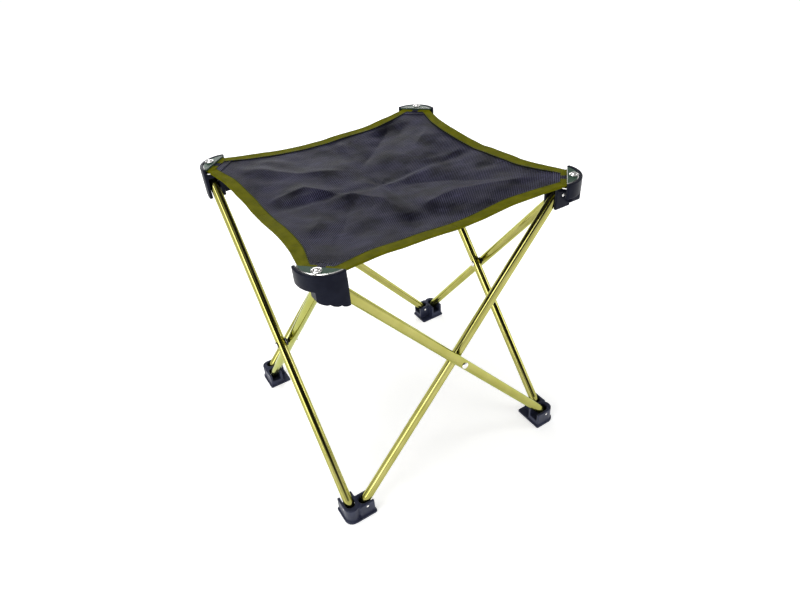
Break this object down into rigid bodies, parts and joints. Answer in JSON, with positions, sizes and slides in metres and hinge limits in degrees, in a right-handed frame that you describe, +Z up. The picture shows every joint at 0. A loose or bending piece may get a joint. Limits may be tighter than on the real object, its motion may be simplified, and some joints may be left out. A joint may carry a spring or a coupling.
{
  "type": "folding camp stool",
  "caption": "Low folding camp stool with crossed aluminium tube legs, plastic corner hubs and feet, and a taped cloth seat clamped at its corners.",
  "frame": {"origin": "on the floor, midway between the four feet", "axes": "+Z up; the four sides lie along X and Y; the front side faces -Y"},
  "size_m": [0.2444, 0.2444, 0.2679],
  "materials": {
    "anodised_aluminium": "glossy olive-gold anodised round tube",
    "black_plastic": "semi-gloss moulded blue-black plastic",
    "green_plate_paint": "dark grey-green satin paint with a bright edge",
    "plated_steel": "bright nickel plating",
    "charcoal_cloth": "charcoal-navy plain-weave polyester with a slight sheen",
    "olive_tape": "olive-green grosgrain binding tape"
  },
  "bodies": {
    "foot_front_left": {"foot_front_left": "black_plastic", "foot_outer_pin_front_left": "plated_steel", "foot_inner_pin_front_left": "plated_steel"},
    "foot_front_right": {"foot_front_right": "black_plastic", "foot_outer_pin_front_right": "plated_steel", "foot_inner_pin_front_right": "plated_steel"},
    "foot_back_right": {"foot_back_right": "black_plastic", "foot_outer_pin_back_right": "plated_steel", "foot_inner_pin_back_right": "plated_steel"},
    "foot_back_left": {"foot_back_left": "black_plastic", "foot_outer_pin_back_left": "plated_steel", "foot_inner_pin_back_left": "plated_steel"},
    "hub_front_left": {"hub_front_left": "black_plastic", "hub_outer_pin_front_left": "plated_steel", "hub_inner_pin_front_left": "plated_steel", "clamp_lower_plate_front_left": "plated_steel", "clamp_top_plate_front_left": "green_plate_paint", "seat_rivet_front_left": "plated_steel"},
    "hub_front_right": {"hub_front_right": "black_plastic", "hub_outer_pin_front_right": "plated_steel", "hub_inner_pin_front_right": "plated_steel", "clamp_lower_plate_front_right": "plated_steel", "clamp_top_plate_front_right": "green_plate_paint", "seat_rivet_front_right": "plated_steel"},
    "hub_back_right": {"hub_back_right": "black_plastic", "hub_outer_pin_back_right": "plated_steel", "hub_inner_pin_back_right": "plated_steel", "clamp_lower_plate_back_right": "plated_steel", "clamp_top_plate_back_right": "green_plate_paint", "seat_rivet_back_right": "plated_steel"},
    "hub_back_left": {"hub_back_left": "black_plastic", "hub_outer_pin_back_left": "plated_steel", "hub_inner_pin_back_left": "plated_steel", "clamp_lower_plate_back_left": "plated_steel", "clamp_top_plate_back_left": "green_plate_paint", "seat_rivet_back_left": "plated_steel"},
    "leg_front_outer": {"leg_front_outer": "anodised_aluminium", "crossing_rivet_front": "plated_steel", "crossing_spacer_front": "black_plastic"},
    "leg_front_inner": {"leg_front_inner": "anodised_aluminium"},
    "leg_right_outer": {"leg_right_outer": "anodised_aluminium", "crossing_rivet_right": "plated_steel", "crossing_spacer_right": "black_plastic"},
    "leg_right_inner": {"leg_right_inner": "anodised_aluminium"},
    "leg_back_outer": {"leg_back_outer": "anodised_aluminium", "crossing_rivet_back": "plated_steel", "crossing_spacer_back": "black_plastic"},
    "leg_back_inner": {"leg_back_inner": "anodised_aluminium"},
    "leg_left_outer": {"leg_left_outer": "anodised_aluminium", "crossing_rivet_left": "plated_steel", "crossing_spacer_left": "black_plastic"},
    "leg_left_inner": {"leg_left_inner": "anodised_aluminium"},
    "seat_front_left": {"seat_panel_front_left": "charcoal_cloth", "seat_binding_front_left": "olive_tape"},
    "seat_front_right": {"seat_panel_front_right": "charcoal_cloth", "seat_binding_front_right": "olive_tape"},
    "seat_back_right": {"seat_panel_back_right": "charcoal_cloth", "seat_binding_back_right": "olive_tape"},
    "seat_back_left": {"seat_panel_back_left": "charcoal_cloth", "seat_binding_back_left": "olive_tape"}
  },
  "joints": [
    {"name": "fold", "type": "hinge", "parent": "foot_front_left", "child": "leg_front_inner", "pos_m": [-0.101, -0.1039, 0.0125], "axis": [0, -1, 0], "range_deg": [0, 36]},
    {"name": "leg_left_outer_at_foot", "type": "hinge", "parent": "foot_front_left", "child": "leg_left_outer", "pos_m": [-0.1139, -0.101, 0.0125], "axis": [1, 0, 0], "range_deg": [0, 36]},
    {"name": "leg_front_inner_at_hub", "type": "hinge", "parent": "leg_front_inner", "child": "hub_front_right", "pos_m": [0.101, -0.1039, 0.2515], "axis": [0, 1, 0], "range_deg": [0, 36]},
    {"name": "leg_left_outer_at_hub", "type": "hinge", "parent": "leg_left_outer", "child": "hub_back_left", "pos_m": [-0.1139, 0.101, 0.2515], "axis": [-1, 0, 0], "range_deg": [0, 36]},
    {"name": "leg_right_outer_at_hub", "type": "hinge", "parent": "hub_front_right", "child": "leg_right_outer", "pos_m": [0.1139, -0.101, 0.2515], "axis": [-1, 0, 0], "range_deg": [0, 36]},
    {"name": "leg_right_outer_at_foot", "type": "hinge", "parent": "leg_right_outer", "child": "foot_back_right", "pos_m": [0.1139, 0.101, 0.0125], "axis": [1, 0, 0], "range_deg": [0, 36]},
    {"name": "leg_back_inner_at_hub", "type": "hinge", "parent": "hub_back_left", "child": "leg_back_inner", "pos_m": [-0.101, 0.1039, 0.2515], "axis": [0, 1, 0], "range_deg": [0, 36]},
    {"name": "crossing_front", "type": "hinge", "parent": "leg_front_inner", "child": "leg_front_outer", "pos_m": [0, -0.1089, 0.132], "axis": [0, 1, 0], "range_deg": [0, 72]},
    {"name": "leg_front_outer_at_hub", "type": "hinge", "parent": "leg_front_outer", "child": "hub_front_left", "pos_m": [-0.101, -0.1139, 0.2515], "axis": [0, -1, 0], "range_deg": [0, 36]},
    {"name": "leg_front_outer_at_foot", "type": "hinge", "parent": "leg_front_outer", "child": "foot_front_right", "pos_m": [0.101, -0.1139, 0.0125], "axis": [0, -1, 0], "range_deg": [0, 36]},
    {"name": "crossing_right", "type": "hinge", "parent": "leg_right_outer", "child": "leg_right_inner", "pos_m": [0.1089, 0, 0.132], "axis": [1, 0, 0], "range_deg": [0, 72]},
    {"name": "leg_right_inner_at_hub", "type": "hinge", "parent": "leg_right_inner", "child": "hub_back_right", "pos_m": [0.1039, 0.101, 0.2515], "axis": [-1, 0, 0], "range_deg": [0, 36]},
    {"name": "leg_back_outer_at_hub", "type": "hinge", "parent": "hub_back_right", "child": "leg_back_outer", "pos_m": [0.101, 0.1139, 0.2515], "axis": [0, -1, 0], "range_deg": [0, 36]},
    {"name": "leg_back_outer_at_foot", "type": "hinge", "parent": "leg_back_outer", "child": "foot_back_left", "pos_m": [-0.101, 0.1139, 0.0125], "axis": [0, 1, 0], "range_deg": [0, 36]},
    {"name": "crossing_left", "type": "hinge", "parent": "leg_left_outer", "child": "leg_left_inner", "pos_m": [-0.1089, 0, 0.132], "axis": [-1, 0, 0], "range_deg": [0, 72]},
    {"name": "seat_lift_front_left", "type": "hinge", "parent": "hub_front_left", "child": "seat_front_left", "pos_m": [-0.10695, -0.10695, 0.26325], "axis": [0.7071, -0.7071, 0], "range_deg": [0, 85.96], "deforming": ["seat_panel_front_left", "seat_binding_front_left"]},
    {"name": "seat_lift_front_right", "type": "hinge", "parent": "hub_front_right", "child": "seat_front_right", "pos_m": [0.10695, -0.10695, 0.26325], "axis": [0.7071, 0.7071, 0], "range_deg": [0, 85.96], "deforming": ["seat_panel_front_right", "seat_binding_front_right"]},
    {"name": "seat_lift_back_right", "type": "hinge", "parent": "hub_back_right", "child": "seat_back_right", "pos_m": [0.10695, 0.10695, 0.26325], "axis": [-0.7071, 0.7071, 0], "range_deg": [0, 85.96], "deforming": ["seat_panel_back_right", "seat_binding_back_right"]},
    {"name": "seat_lift_back_left", "type": "hinge", "parent": "hub_back_left", "child": "seat_back_left", "pos_m": [-0.10695, 0.10695, 0.26325], "axis": [-0.7071, -0.7071, 0], "range_deg": [0, 85.96], "deforming": ["seat_panel_back_left", "seat_binding_back_left"]}
  ],
  "couplings": [
    {"joint": "leg_left_outer_at_foot", "follows": "fold", "ratio": 1},
    {"joint": "leg_front_inner_at_hub", "follows": "fold", "ratio": 1},
    {"joint": "leg_left_outer_at_hub", "follows": "fold", "ratio": 1},
    {"joint": "leg_right_outer_at_hub", "follows": "fold", "ratio": 1},
    {"joint": "leg_right_outer_at_foot", "follows": "fold", "ratio": 1},
    {"joint": "leg_back_inner_at_hub", "follows": "fold", "ratio": 1},
    {"joint": "crossing_front", "follows": "fold", "ratio": 2},
    {"joint": "leg_front_outer_at_hub", "follows": "fold", "ratio": 1},
    {"joint": "leg_front_outer_at_foot", "follows": "fold", "ratio": 1},
    {"joint": "crossing_right", "follows": "fold", "ratio": 2},
    {"joint": "leg_right_inner_at_hub", "follows": "fold", "ratio": 1},
    {"joint": "leg_back_outer_at_hub", "follows": "fold", "ratio": 1},
    {"joint": "leg_back_outer_at_foot", "follows": "fold", "ratio": 1},
    {"joint": "crossing_left", "follows": "fold", "ratio": 2},
    {"joint": "seat_lift_front_left", "follows": "fold", "ratio": 2.3876},
    {"joint": "seat_lift_front_right", "follows": "fold", "ratio": 2.3876},
    {"joint": "seat_lift_back_right", "follows": "fold", "ratio": 2.3876},
    {"joint": "seat_lift_back_left", "follows": "fold", "ratio": 2.3876}
  ]
}
